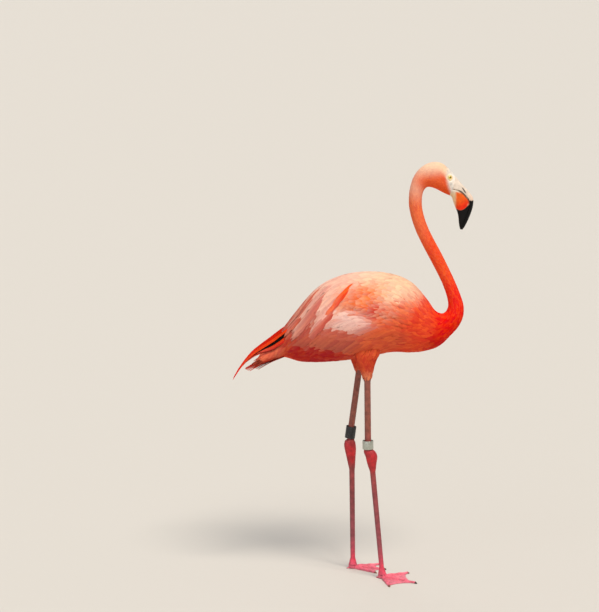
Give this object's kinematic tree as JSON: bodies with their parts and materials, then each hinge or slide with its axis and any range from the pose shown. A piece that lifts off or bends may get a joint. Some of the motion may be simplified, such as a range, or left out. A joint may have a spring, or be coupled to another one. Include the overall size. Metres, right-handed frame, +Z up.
{
  "type": "american flamingo",
  "caption": "Still, life-size American flamingo standing on both legs, neck raised in an S and bill hanging, with a plain black and a plain grey leg band.",
  "frame": {"origin": "centre of the bird's bounding box, on the floor it stands on", "axes": "+Z up, +X the way the bird faces, +Y its left side"},
  "size_m": [0.6414, 0.2472, 1.122],
  "materials": {
    "plumage_salmon": "salmon-pink feathers",
    "plumage_scarlet": "scarlet neck, breast and plume feathers",
    "plumage_coral": "coral-red body feathers",
    "eye": "pale yellow iris with a black pupil, wet",
    "bill_pale_horn": "pale horn",
    "bill_black_horn": "black horn",
    "leg_skin": "dull rose scaled skin",
    "ankle_skin": "red scaled skin",
    "foot_skin": "pink webbed skin",
    "claw_horn": "dark horn",
    "band_grey_metal": "plain dull grey metal leg band",
    "band_black_plastic": "plain black plastic leg band"
  },
  "bodies": {
    "root": {"wing_right": "plumage_salmon", "wing_tip_right": "plumage_scarlet", "wing_left": "plumage_salmon", "wing_tip_left": "plumage_scarlet", "tail": "plumage_coral", "neck_lower": "plumage_scarlet", "neck_middle": "plumage_scarlet", "neck_upper": "plumage_salmon", "eye_right": "eye", "eye_left": "eye", "head": "plumage_salmon", "bill_upper": "bill_pale_horn", "bill_lower": "bill_black_horn", "thigh_right": "plumage_coral", "shank_right": "leg_skin", "ankle_right": "ankle_skin", "tarsus_right": "leg_skin", "foot_right": "foot_skin", "claw_right_outer": "claw_horn", "claw_right_middle": "claw_horn", "claw_right_inner": "claw_horn", "claw_right_hind": "claw_horn", "band_right": "band_grey_metal", "thigh_left": "plumage_coral", "shank_left": "leg_skin", "ankle_left": "ankle_skin", "tarsus_left": "leg_skin", "foot_left": "foot_skin", "claw_left_outer": "claw_horn", "claw_left_middle": "claw_horn", "claw_left_inner": "claw_horn", "claw_left_hind": "claw_horn", "band_left": "band_black_plastic", "trunk": "plumage_coral"}
  },
  "joints": []
}
